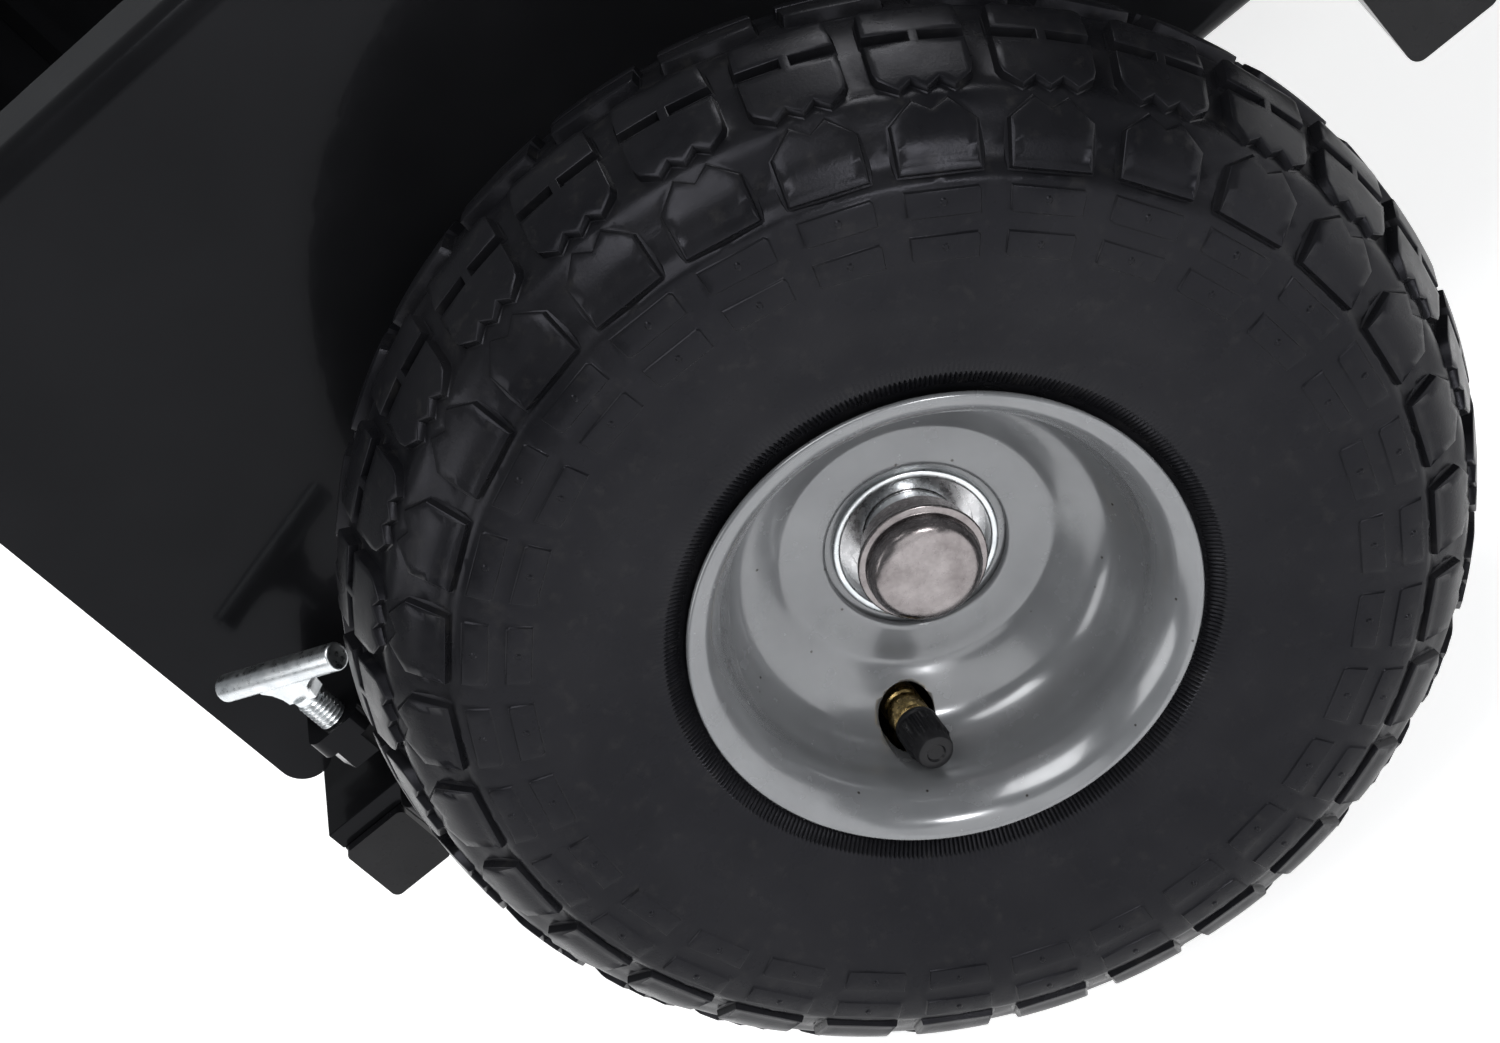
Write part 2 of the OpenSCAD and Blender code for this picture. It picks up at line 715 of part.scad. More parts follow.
// Tabs on the side panels, with a welded nut below each for the clamp screw's thread
nut_h = 6.5;
module clamp_tabs() {
  tab_half = 8;
  x = -screw_x;
  color(black) place() both_sides() difference() {
    union() {
      translate([x - tab_half, -ear_y - 1, tab_z]) cube([2 * tab_half, ear_y + 1 - side_y, tab_t]);
      translate([0, 0, tab_z]) linear_extrude(tab_t)
        round_rect(x - tab_half, -ear_y - 6.5, x + tab_half, -ear_y + 6, 4);
      translate([x, -ear_y, tab_z - nut_h]) cylinder(r = nut_r, h = nut_h, $fn = 6);
    }
    translate([x, -ear_y, 100]) cylinder(r = screw_r + slip, h = 80);
  }
}

mount_y = 272;
module bed_mounts() {
  color(rubber) place() both_sides() {
    translate([-rear_tube_x + 4, -mount_y, plate_top]) cylinder(r = 9, h = bed_bottom - plate_top);
    translate([front_tube_x + front_tube / 2, -mount_y, cross_top])
      cylinder(r = 9, h = bed_bottom - cross_top);
    translate([nose_x + nose_tube / 2, -120, cross_top]) cylinder(r = 9, h = floor_z - cross_top);
  }
}

module latch_striker() {
  lug = striker_x + 7 - nose_x - nose_tube;
  color(black) place() {
    for (y = [-16, 11]) translate([nose_x + nose_tube, y, striker_z - 4]) cube([lug, 5, 16]);
    translate([striker_x, 0, striker_z]) rotate([90, 0, 0]) cylinder(r = 4, h = 22, center = true);
  }
}

module bed_rivets() {
  head_r = 4.5;
  head_h = 1.6;
  color(zinc) place() {
    rivet_spots(0);
    both_sides() {
      for (q = side_rivets, y = [side_y, side_y - 4 - head_h])
        translate([q[0], 0, q[1]]) rod_y(head_r, y, y + head_h);
      for (x = floor_rivets, z = [bed_bottom - head_h, bed_bottom + 4])
        translate([x, -floor_rivet_y, z]) cylinder(r = head_r, h = head_h);
    }
  }
}

// ---- Tailgate ----

gate_top = 318;
grip_l = 120;
module tailgate() {
  inner_y = side_y - sheet - 3;
  top_y = side_y - top_flange - 4;
  color(black) place() {
    translate([gate_x - sheet, -inner_y, gate_foot]) cube([sheet, 2 * inner_y, 160]);
    translate([gate_x - sheet, -top_y, 250]) cube([sheet, 2 * top_y, gate_top - 250]);
    translate([gate_x - sheet, -top_y, gate_top - sheet]) cube([22, 2 * top_y, sheet]);
    translate([gate_x - sheet + 20, -top_y, gate_top - 12]) cube([sheet, 2 * top_y, 12]);
    for (y = [-150, 0, 150]) translate([gate_x, y - 9, 165]) cube([5, 18, 130]);
  }
}
module tailgate_handle() {
  half = grip_l / 2;
  rise = 24;
  color(zinc) place() translate([gate_x + 9, 0, gate_top]) {
    for (y = [-half, half]) translate([0, y, 0]) {
      cylinder(r = 4, h = rise);
      cylinder(r = 8, h = 2.5);
      translate([0, 0, rise]) sphere(r = 4);
    }
    translate([0, half, rise]) rotate([90, 0, 0]) cylinder(r = 4, h = grip_l);
  }
}

// ---- Clamp screws ----

// A round bar on a flat web, with a threaded shank that runs down through the tab and its nut
bar_r = 3.5;
bar_l = 44;
bar_turn = 35;
web_t = 5;
web_foot = 177;
screw_end = tab_z - nut_h - 1;
module clamp_screw(side) {
  color(zinc) place() one_side(side) translate([-screw_x, -ear_y, 0]) {
    rotate([90, 0, -bar_turn]) {
      translate([-bar_l / 2, handle_z, 0]) rotate([0, 90, 0]) cylinder(r = bar_r, h = bar_l);
      translate([0, 0, -web_t / 2]) linear_extrude(web_t)
        polygon([[-5, web_foot], [5, web_foot], [10, handle_z], [-10, handle_z]]);
    }
    translate([0, 0, screw_end]) cylinder(r = screw_r, h = web_foot + 3 - screw_end);
  }
}

tyre("right");  // tyre_right
inner_tube("right");  // inner_tube_right
rim_outer("right");  // rim_outer_right
rim_inner("right");  // rim_inner_right
hub("right");  // hub_right
bearings("right");  // bearings_right
valve_stem("right");  // valve_stem_right
valve_cap("right");  // valve_cap_right
tyre("left");  // tyre_left
inner_tube("left");  // inner_tube_left
rim_outer("left");  // rim_outer_left
rim_inner("left");  // rim_inner_left
hub("left");  // hub_left
bearings("left");  // bearings_left
valve_stem("left");  // valve_stem_left
valve_cap("left");  // valve_cap_left
axle();
bearing_inner_rings();
axle_caps();
axle_sleeves();
pivot_collars();
drawbar();
drawbar_plug();
drawbar_braces();
brace_eyes();
axle_brackets();
rest_pad();
latch_bracket();
latch_pin();
latch_spring();
hitch_clevis();
pin_tab();
pin_clip();
parking_stand();
stand_bolts();
latch_lever();
latch_grip();
hitch_pin();
side_panel("right");  // side_panel_right
side_panel("left");  // side_panel_left
floor_panel();
front_panel();
tailgate_channels();
rear_cross_tube();
front_cross_tube();
nose_cross_tube();
tube_end_caps();
pivot_rails();
pivot_bushings();
clamp_plates();
clamp_tabs();
bed_mounts();
latch_striker();
bed_rivets();
tailgate();
tailgate_handle();
clamp_screw("right");  // clamp_screw_rear_right
clamp_screw("left");  // clamp_screw_rear_left
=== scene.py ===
"""Tow behind cart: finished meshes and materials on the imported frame.

Lengths in the tables below are millimetres, and those of the camera, floor and lights metres. Every
object is made in metres.
A wheel's own frame has its centre at the origin, +z outward from the cart, +y up and +x forward.
"""

import json
import math

import bmesh
import bpy
from mathutils import Euler, Matrix, Vector, geometry


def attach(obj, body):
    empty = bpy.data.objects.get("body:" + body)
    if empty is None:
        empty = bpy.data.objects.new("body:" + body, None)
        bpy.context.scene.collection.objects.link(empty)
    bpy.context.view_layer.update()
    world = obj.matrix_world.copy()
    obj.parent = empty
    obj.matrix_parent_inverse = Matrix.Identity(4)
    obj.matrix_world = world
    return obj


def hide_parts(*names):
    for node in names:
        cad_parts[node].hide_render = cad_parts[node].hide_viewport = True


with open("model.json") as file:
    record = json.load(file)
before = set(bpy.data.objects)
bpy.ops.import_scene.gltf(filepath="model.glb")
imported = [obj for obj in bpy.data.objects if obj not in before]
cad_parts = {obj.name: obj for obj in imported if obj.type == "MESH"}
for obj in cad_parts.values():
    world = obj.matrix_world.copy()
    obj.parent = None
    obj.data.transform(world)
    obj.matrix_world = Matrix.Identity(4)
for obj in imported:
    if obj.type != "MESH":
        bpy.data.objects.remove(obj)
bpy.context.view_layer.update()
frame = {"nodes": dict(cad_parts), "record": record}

MM = 0.001
MERGE = 2e-6               # points nearer than this, in metres, become one
AXLE_X = -487.0            # the axle in the row frame
AXLE_Z = 131.0
WHEEL_Y = 360.0            # from the cart's middle to a wheel's
SIDES = ("right", "left")
BODY_OF = {node: body for body, nodes in frame["record"]["behaviour"]["bodies"].items() for node in nodes}


# ---- Materials -------------------------------------------------------------------------------

class Nodes:
    """A material's node tree, with short ways to add the textures that the materials here share."""

    def __init__(self, name):
        self.material = bpy.data.materials.new(name)
        self.material.use_nodes = True
        self.tree = self.material.node_tree
        self.shader = self.tree.nodes["Principled BSDF"]
        self.place = self.tree.nodes.new("ShaderNodeTexCoord").outputs["Object"]
        self.bump = None

    def link(self, source, target):
        self.tree.links.new(source, target)

    def set(self, **values):
        for key, value in values.items():
            self.shader.inputs[key.replace("_", " ")].default_value = value

    def stretched(self, scale):
        node = self.tree.nodes.new("ShaderNodeMapping")
        node.inputs["Scale"].default_value = scale
        self.link(self.place, node.inputs["Vector"])
        return node.outputs["Vector"]

    def noise(self, size_mm, detail, rough=0.55, stretch=None):
        """Noise whose blobs are about size_mm across."""
        node = self.tree.nodes.new("ShaderNodeTexNoise")
        node.inputs["Scale"].default_value = 1.0 / (size_mm * MM)
        node.inputs["Detail"].default_value = detail
        node.inputs["Roughness"].default_value = rough
        self.link(self.stretched(stretch) if stretch else self.place, node.inputs["Vector"])
        return node.outputs["Fac"]

    def cells(self, size_mm):
        """Distance from the middle of random cells about size_mm across."""
        node = self.tree.nodes.new("ShaderNodeTexVoronoi")
        node.inputs["Scale"].default_value = 1.0 / (size_mm * MM)
        self.link(self.place, node.inputs["Vector"])
        return node.outputs["Distance"]

    def spread(self, value, low, high, to_low=0.0, to_high=1.0):
        """value from low..high to to_low..to_high, held at the ends."""
        node = self.tree.nodes.new("ShaderNodeMapRange")
        node.inputs["From Min"].default_value = low
        node.inputs["From Max"].default_value = high
        node.inputs["To Min"].default_value = to_low
        node.inputs["To Max"].default_value = to_high
        self.link(value, node.inputs["Value"])
        return node.outputs["Result"]

    def mix(self, factor, first, second):
        """A colour between first and second, either of which may be a socket."""
        node = self.tree.nodes.new("ShaderNodeMix")
        node.data_type = "RGBA"
        self.link(factor, node.inputs["Factor"])
        for name, colour in (("A", first), ("B", second)):
            socket = [s for s in node.inputs if s.name == name and s.type == "RGBA"][0]
            if isinstance(colour, bpy.types.NodeSocket):
                self.link(colour, socket)
            else:
                socket.default_value = (*colour, 1.0)
        return [s for s in node.outputs if s.type == "RGBA"][0]

    def raise_by(self, height, depth_mm, strength):
        """Adds a bump of depth_mm to those already there."""
        node = self.tree.nodes.new("ShaderNodeBump")
        node.inputs["Distance"].default_value = depth_mm * MM
        node.inputs["Strength"].default_value = strength
        self.link(height, node.inputs["Height"])
        if self.bump:
            self.link(self.bump, node.inputs["Normal"])
        self.bump = node.outputs["Normal"]
        self.link(self.bump, self.shader.inputs["Normal"])

    def colour(self, socket):
        self.link(socket, self.shader.inputs["Base Color"])

    def roughness(self, socket):
        self.link(socket, self.shader.inputs["Roughness"])


def rubber(name, dark, light, rough, grain_mm, dust=0.0):
    """Black rubber in patches between two tones; dust is how much of a brownish film lies on it."""
    m = Nodes(name)
    m.set(Specular_IOR_Level=0.11, Specular_Tint=(0.88, 0.88, 1.0, 1.0))
    patches = m.spread(m.noise(26, 4), 0.35, 0.7)
    tone = m.mix(patches, dark, light)
    if dust:
        tone = m.mix(m.spread(m.noise(5, 6, 0.7), 0.56, 0.78, 0.0, dust), tone, (0.09, 0.085, 0.075))
    m.colour(tone)
    m.roughness(m.spread(m.noise(9, 5), 0.3, 0.7, rough - 0.07, rough + 0.09))
    m.raise_by(m.noise(grain_mm, 4, 0.6), 0.10, 0.35)
    m.raise_by(m.noise(14, 2), 0.35, 0.25)
    return m.material


def powder_coat():
    """Gloss black powder coat: fine orange peel over the slow waves of the sheet."""
    m = Nodes("black_powder_coat")
    m.set(Specular_IOR_Level=0.06, Specular_Tint=(0.88, 0.9, 1.0, 1.0))
    m.set(Coat_Weight=0.05, Coat_Roughness=0.05)
    m.colour(m.mix(m.spread(m.noise(60, 3), 0.3, 0.7), (0.0035, 0.0036, 0.0040), (0.0060, 0.0061, 0.0068)))
    m.roughness(m.spread(m.noise(30, 5), 0.3, 0.7, 0.13, 0.22))
    m.raise_by(m.noise(38, 1), 1.2, 0.22)
    m.raise_by(m.noise(3.2, 2, 0.4), 0.12, 0.30)
    m.raise_by(m.noise(1.1, 1), 0.03, 0.25)
    return m.material


def silver_paint():
    """Grey wheel paint with dark specks, paler rub marks and a soft peel."""
    m = Nodes("rim_grey_paint")
    m.set(Metallic=0.35, Coat_Weight=0.55, Coat_Roughness=0.10, Specular_IOR_Level=0.5)
    base = m.mix(m.spread(m.noise(18, 4), 0.3, 0.7), (0.127, 0.131, 0.138), (0.155, 0.160, 0.167))
    specks = m.spread(m.cells(7.5), 0.035, 0.06, 1.0, 0.0)
    base = m.mix(specks, base, (0.03, 0.028, 0.026))
    rubs = m.spread(m.noise(2.5, 4, 0.7), 0.70, 0.78)
    base = m.mix(rubs, base, (0.19, 0.195, 0.20))
    m.colour(base)
    m.roughness(m.spread(m.noise(7, 5), 0.3, 0.7, 0.18, 0.30))
    m.raise_by(m.noise(2.2, 2), 0.02, 0.2)
    m.raise_by(m.noise(25, 1), 0.30, 0.15)
    return m.material


def bare_metal(name, low, high, rough, streak=(1.0, 1.0, 1.0), scratch=0.3, spots=0.0):
    """Metal between two tones; streak stretches its scratches, spots is how much of it is stained."""
    m = Nodes(name)
    m.set(Metallic=1.0)
    tone = m.mix(m.spread(m.noise(6, 5, 0.65), 0.3, 0.7), low, high)
    if spots:
        tone = m.mix(m.spread(m.noise(3.0, 6, 0.75), 0.60, 0.74, 0.0, spots), tone, (0.16, 0.13, 0.10))
    m.colour(tone)
    m.roughness(m.spread(m.noise(2.0, 6, 0.7, stretch=streak), 0.3, 0.7, rough - 0.09, rough + 0.12))
    m.raise_by(m.noise(0.8, 4, 0.7, stretch=streak), 0.05, scratch)
    m.raise_by(m.noise(5.0, 2), 0.12, 0.3)
    return m.material


def plastic(name, low, high, rough, grain_mm):
    """Moulded plastic between two tones, with a fine grain."""
    m = Nodes(name)
    m.set(Specular_IOR_Level=0.16)
    m.colour(m.mix(m.spread(m.noise(11, 4), 0.3, 0.7), low, high))
    m.roughness(m.spread(m.noise(4, 4), 0.3, 0.7, rough - 0.06, rough + 0.08))
    m.raise_by(m.cells(grain_mm), 0.04, 0.3)
    m.raise_by(m.noise(9, 2), 0.15, 0.3)
    return m.material


MATERIALS = {
    "tyre_rubber": rubber("tyre_rubber", (0.0040, 0.0041, 0.0050), (0.0075, 0.0075, 0.0085), 0.29, 0.7,
                          dust=0.10),
    "tube_rubber": rubber("tube_rubber", (0.012, 0.012, 0.012), (0.02, 0.02, 0.02), 0.6, 1.0),
    "grip_rubber": rubber("grip_rubber", (0.010, 0.010, 0.011), (0.016, 0.016, 0.016), 0.6, 1.6),
    "rim_paint": silver_paint(),
    "zinc_steel": bare_metal("zinc_plated_steel", (0.50, 0.53, 0.55), (0.70, 0.72, 0.73), 0.30,
                             scratch=0.35, spots=0.18),
    "bearing_steel": bare_metal("ground_steel", (0.42, 0.42, 0.43), (0.60, 0.60, 0.61), 0.26),
    "cap_steel": bare_metal("scratched_cap_steel", (0.15, 0.135, 0.135), (0.27, 0.25, 0.25), 0.22,
                            streak=(1.0, 3.5, 1.4), scratch=0.35, spots=0.30),
    "valve_brass": bare_metal("valve_brass", (0.30, 0.21, 0.085), (0.52, 0.39, 0.17), 0.27, spots=0.35),
    "black_paint": powder_coat(),
    "black_plastic": plastic("moulded_black_plastic", (0.005, 0.005, 0.006), (0.009, 0.009, 0.010), 0.30,
                             0.9),
    "bushing_nylon": plastic("natural_nylon", (0.60, 0.59, 0.52), (0.72, 0.71, 0.64), 0.45, 0.8),
}
SLOT_OF = {row["node"]: row["material_slot"] for row in frame["record"]["subparts"]}


# ---- Making pieces ---------------------------------------------------------------------------

def in_wheel(side):
    """From a wheel's own frame in millimetres to the row frame in metres."""
    out = -1.0 if side == "right" else 1.0
    turn = Matrix(((1, 0, 0, AXLE_X), (0, 0, out, out * WHEEL_Y), (0, 1, 0, AXLE_Z), (0, 0, 0, 1)))
    return Matrix.Scale(MM, 4) @ turn


def in_bed(side, x, y, z):
    """From a frame at a point of the cart, with +y outward and in millimetres, to the row frame in metres."""
    out = -1.0 if side == "right" else 1.0
    turn = Matrix(((1, 0, 0, AXLE_X + x), (0, out, 0, out * y), (0, 0, 1, z), (0, 0, 0, 1)))
    return Matrix.Scale(MM, 4) @ turn


def piece(name, mesh, nodes, slot, sharp=35.0, body=None):
    """Puts a finished mesh on its body, in place of the CAD nodes that it stands for."""
    obj = bpy.data.objects.new(name, mesh)
    bpy.context.scene.collection.objects.link(obj)
    mesh.materials.clear()
    mesh.materials.append(MATERIALS[slot])
    mesh.shade_smooth()
    mesh.set_sharp_from_angle(angle=math.radians(sharp))
    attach(obj, body or BODY_OF[nodes[0]])
    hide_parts(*nodes)
    return obj


def built(name, parts, matrix=None):
    """One mesh from several (points, faces) lists, with its faces turned outward."""
    bm = bmesh.new()
    for points, faces in parts:
        made = [bm.verts.new(matrix @ Vector(p) if matrix else Vector(p)) for p in points]
        for f in faces:
            bm.faces.new([made[i] for i in f])
    bmesh.ops.remove_doubles(bm, verts=bm.verts, dist=MERGE)
    bmesh.ops.recalc_face_normals(bm, faces=bm.faces)
    mesh = bpy.data.meshes.new(name)
    bm.to_mesh(mesh)
    bm.free()
    return mesh


def moved(matrix, solid):
    """A (points, faces) pair with its points moved by the matrix."""
    points, faces = solid
    return [matrix @ Vector(p) for p in points], faces


def band(rings, segments):
    """Faces between rings of points that follow one another, each with that many points."""
    faces = []
    for i in range(rings - 1):
        for k in range(segments):
            n = (k + 1) % segments
            faces.append([i * segments + k, i * segments + n, (i + 1) * segments + n, (i + 1) * segments + k])
    return faces


def curve_through(points, steps):
    """A smooth line through the points, with that many steps from each to the next."""
    out = []
    for i in range(len(points) - 1):
        p = [Vector(points[max(0, min(len(points) - 1, i + k))]) for k in (-1, 0, 1, 2)]
        for s in range(steps):
            t = s / steps
            out.append(0.5 * (2 * p[1] + (p[2] - p[0]) * t + (2 * p[0] - 5 * p[1] + 4 * p[2] - p[3]) * t * t
                              + (3 * p[1] - p[0] - 3 * p[2] + p[3]) * t ** 3))
    return out + [Vector(points[-1])]


def sheet_section(line, thick):
    """The closed outline of a sheet whose one face follows line; its two edges are round."""
    side = []
    for i, p in enumerate(line):
        along = (line[min(i + 1, len(line) - 1)] - line[max(i - 1, 0)]).normalized()
        side.append(Vector((-along[1], along[0])))
    outline = list(line)
    for i, order in ((len(line) - 1, 1), (0, -1)):
        along = Vector((side[i][1], -side[i][0])) * order
        middle = line[i] + side[i] * thick / 2
        ends = [middle - side[i] * order * math.cos(a) * thick / 2 + along * math.sin(a) * thick / 2
                for a in (math.pi * k / 6 for k in range(1, 6))]
        if order == 1:
            outline += ends + [line[k] + side[k] * thick for k in range(len(line) - 1, -1, -1)]
        else:
            outline += ends
    return outline


def lathed(outline, segments, closed=True):
    """Turns (radius, height) points round the z axis; closed joins the last point to the first."""
    points, faces, rings = [], [], []
    for r, z in outline:
        if r < 1e-6:
            rings.append([len(points)] * segments)
            points.append((0.0, 0.0, z))
        else:
            rings.append(list(range(len(points), len(points) + segments)))
            points += [(r * math.cos(2 * math.pi * k / segments), r * math.sin(2 * math.pi * k / segments), z)
                       for k in range(segments)]
    for i in range(len(rings) if closed else len(rings) - 1):
        a, b = rings[i], rings[(i + 1) % len(rings)]
        for k in range(segments):
            n = (k + 1) % segments
            face = [a[k], a[n], b[n], b[k]]
            face = [v for j, v in enumerate(face) if v not in face[:j]]
            if len(face) > 2:
                faces.append(face)
    return points, faces


def rounded(outline, radii, steps=3):
    """Replaces each corner of a closed outline by a small arc; radii holds one value for each corner."""
    out = []
    count = len(outline)
    for i in range(count):
        p, before, after = (Vector(outline[(i + k) % count]) for k in (0, -1, 1))
        a, b = before - p, after - p
        if radii[i] == 0:
            out.append(p)
            continue
        reach = min(radii[i], 0.45 * a.length, 0.45 * b.length)
        start, end = p + a.normalized() * reach, p + b.normalized() * reach
        for k in range(steps + 1):
            t = k / steps
            out.append(start * (1 - t) ** 2 + p * 2 * t * (1 - t) + end * t * t)
    return out


def bevelled(node, width):
    """The CAD node's own shape with its edges broken, as pressed, sawn or moulded edges are."""
    bm = bmesh.new()
    bm.from_mesh(frame["nodes"][node].data)
    bmesh.ops.remove_doubles(bm, verts=bm.verts, dist=MERGE)
    bmesh.ops.dissolve_limit(bm, angle_limit=math.radians(0.6), verts=bm.verts, edges=bm.edges)
    edges = [e for e in bm.edges if len(e.link_faces) == 2 and e.calc_face_angle() > math.radians(38)]
    bmesh.ops.bevel(bm, geom=edges, offset=width * MM, offset_type="OFFSET", segments=2,
                    profile=0.5, affect="EDGES", clamp_overlap=True)
    mesh = bpy.data.meshes.new(node + "_finished")
    bm.to_mesh(mesh)
    bm.free()
    obj = piece(node + "_finished", mesh, [node], SLOT_OF[node], sharp=50.0)
    keep = obj.modifiers.new("flat_faces", "WEIGHTED_NORMAL")
    keep.keep_sharp = True
    keep.weight = 100


# ---- Tyre ------------------------------------------------------------------------------------

PITCHES = 30
PITCH = 360.0 / PITCHES
TREAD_START = 0.9          # angle of one outboard block, from straight up towards +x, in degrees
DEGREE = 2.2               # millimetres round the tread for one degree, for laying out one pitch
# The tyre's outside from the crown to the rim's lip: (distance outward, depth below the crown)
TYRE_LINE = [(0, 0), (6, 0.5), (12, 2.0), (20, 4.8), (27, 7.8), (33, 12.4), (38.3, 20), (41.3, 29),
             (42.05, 38), (41.3, 48), (39.4, 57), (38.3, 64.5), (37.2, 68.5), (35.0, 72)]
# From there round the bead's toe and back along the inside to the crown
BEAD_LINE = [(34.6, 72.8), (33.6, 76.0), (31.2, 78.2), (28, 79.6), (24, 80.2), (26, 76), (33, 66),
             (36.5, 55), (37.5, 42), (35.5, 30), (30, 20), (22, 12.5), (12, 8.5), (0, 7.5)]
CROWN_R = 131.0
# From here on, outlines are (degrees from the middle of a pitch, distance along the tyre's line)
GROOVE = 2.8               # depth of the grooves between crown blocks
ZIGZAG_STEP = 1.4          # depth below the crown blocks' zigzag edge
SLOT_DEPTH = 2.3
SLOT_FROM, SLOT_TO = 12.2, 15.2
SLOT_HALF = 4.9            # half of the ground that lies at slot depth, in degrees
BLOCK_HALF = 4.72          # half of a crown block, in degrees
SLOT_BRIDGE = 0.45         # half of the bridge between a block's two slots, in degrees
BLOCK = [(-3.8, 3.2), (3.8, 3.2), (4.5, 4.2), (4.7, SLOT_FROM), (SLOT_BRIDGE, SLOT_FROM),
         (SLOT_BRIDGE, SLOT_TO), (BLOCK_HALF, SLOT_TO), (BLOCK_HALF, 23.2), (4.45, 25.3), (2.72, 28.5),
         (1.36, 25.8), (0, 28.5), (-1.36, 25.8), (-2.72, 28.5), (-4.45, 25.3), (-BLOCK_HALF, 23.2),
         (-BLOCK_HALF, SLOT_TO), (-SLOT_BRIDGE, SLOT_TO), (-SLOT_BRIDGE, SLOT_FROM), (-4.7, SLOT_FROM),
         (-4.5, 4.2)]
LUG_TOP, LUG_BEND, LUG_FOLD, LUG_END = 31.2, 36.2, 40.5, 46.4
LUG = [(-4.3, LUG_BEND), (-1.75, LUG_TOP), (0, 33.8), (1.75, LUG_TOP), (4.3, LUG_BEND), (4.35, LUG_END),
       (-4.35, LUG_END)]
LUG_HEIGHT = 2.1
PLAIN_FROM = 49.2          # the sidewall's smooth ground starts here
PADS = [(50.2, 55.4), (59.6, 64.8)]
PAD_HALF = 4.2
PAD_HEIGHT = 0.55
DOT_HEIGHT = 0.35          # of the dot on each pad
RIB_FROM = 94.2            # where the bead's fine ribs start
RIBS = 12                  # bead ribs in one pitch
RIB_HEIGHT = 0.3
SIDE_STEPS = 48            # mesh columns in one pitch of the bead's ribs
COLUMNS = 12               # mesh columns in one pitch of the tread and sidewall
BEAD_COLUMNS = 8           # mesh columns in one pitch of the bead's toe and the tyre's inside
TOP_INSET = 0.22           # a block's flat top lies this far inside its outline,
TOP_DROP = 0.16            # and its rounded corner this far below the top
DOT_TOP_R, DOT_FOOT_R = 0.55, 0.95
# Distances along the tyre's line of the mesh rows: close on the tread, wider on the sidewall
MESH_ROWS = [0, 1.4, 3, *range(5, 28, 2), *(28.5 + 1.5 * k for k in range(14)), PLAIN_FROM, 51, 53,
             55.5, 57.5, *(60 + 2.5 * k for k in range(5)), *range(73, 89, 3), 90, RIB_FROM]


def between(value, table):
    """Straight-line lookup in [(value, result), ...]."""
    for (a, fa), (b, fb) in zip(table, table[1:]):
        if value <= b:
            return fa + (fb - fa) * max(0.0, (value - a) / (b - a))
    return table[-1][1]


TYRE_CURVE = curve_through(TYRE_LINE, 8)
CURVE_AT = [0.0]
for _a, _b in zip(TYRE_CURVE, TYRE_CURVE[1:]):
    CURVE_AT.append(CURVE_AT[-1] + (_b - _a).length)
LINE_LENGTH = CURVE_AT[-1]


def on_tyre(angle, s, height):
    """A point of the outboard half, height above the tyre's line, in the wheel's frame."""
    i = 0
    while i < len(CURVE_AT) - 2 and CURVE_AT[i + 1] < s:
        i += 1
    t = (s - CURVE_AT[i]) / (CURVE_AT[i + 1] - CURVE_AT[i])
    p = TYRE_CURVE[i].lerp(TYRE_CURVE[i + 1], t)
    along = (TYRE_CURVE[min(i + 2, len(TYRE_CURVE) - 1)] - TYRE_CURVE[max(i - 1, 0)]).normalized()
    if s < 0.01:
        along = Vector((1.0, 0.0))
    n = p[0] + along[1] * height
    r = CROWN_R - p[1] + along[0] * height
    a = math.radians(angle)
    return r * math.sin(a), r * math.cos(a), n


def floor_height(angle, s):
    """The ground between the blocks."""
    level = -between(s, [(0, GROOVE), (24, GROOVE), (28.5, ZIGZAG_STEP), (31, ZIGZAG_STEP - 0.1),
                         (LUG_BEND, LUG_HEIGHT), (45.2, LUG_HEIGHT * 0.9), (48.0, 0.25), (PLAIN_FROM, 0.0)])
    if SLOT_FROM - 0.1 < s < SLOT_TO + 0.1 and abs(angle) < SLOT_HALF:
        level = -SLOT_DEPTH
    return level


def lug_height(s):
    """The top of a shoulder lug, which folds over towards the sidewall."""
    base = floor_height(PITCH / 2, s)
    return base + between(s, [(LUG_TOP, 0.7), (LUG_BEND + 1, LUG_HEIGHT - 0.05),
                              (LUG_FOLD, LUG_HEIGHT + 0.15), (LUG_END, LUG_HEIGHT - 0.25)])


def corner_height(top, ground):
    """Where the top's edge lies: lower than the top, and less so on a low wall."""
    return top - TOP_DROP * min(1.0, (top - ground) / 1.5)


def grown(loop, by):
    """The outline moved outward by that many millimetres; the loop runs either way."""
    pts = [Vector((a * DEGREE, s)) for a, s in loop]
    area = sum(p.x * q.y - q.x * p.y for p, q in zip(pts, pts[1:] + pts[:1]))
    turn = 1.0 if area > 0 else -1.0
    out = []
    for i, p in enumerate(pts):
        a = (p - pts[i - 1]).normalized()
        b = (pts[(i + 1) % len(pts)] - p).normalized()
        na, nb = Vector((a.y, -a.x)) * turn, Vector((b.y, -b.x)) * turn
        m = (na + nb).normalized()
        out.append(p + m * by / max(0.55, m.dot(na)))
    return [(p.x / DEGREE, p.y) for p in out]


def inside(point, loop):
    """Whether the point lies in the closed loop."""
    hit = False
    x, y = point
    for (x1, y1), (x2, y2) in zip(loop, loop[1:] + loop[:1]):
        if (y1 > y) != (y2 > y) and x < (x2 - x1) * (y - y1) / (y2 - y1) + x1:
            hit = not hit
    return hit


def disc(s, radius):
    """The outline of a dot in the middle of a pitch."""
    count = 10
    return [(radius / DEGREE * math.cos(2 * math.pi * k / count),
             s + radius * math.sin(2 * math.pi * k / count)) for k in range(count)]


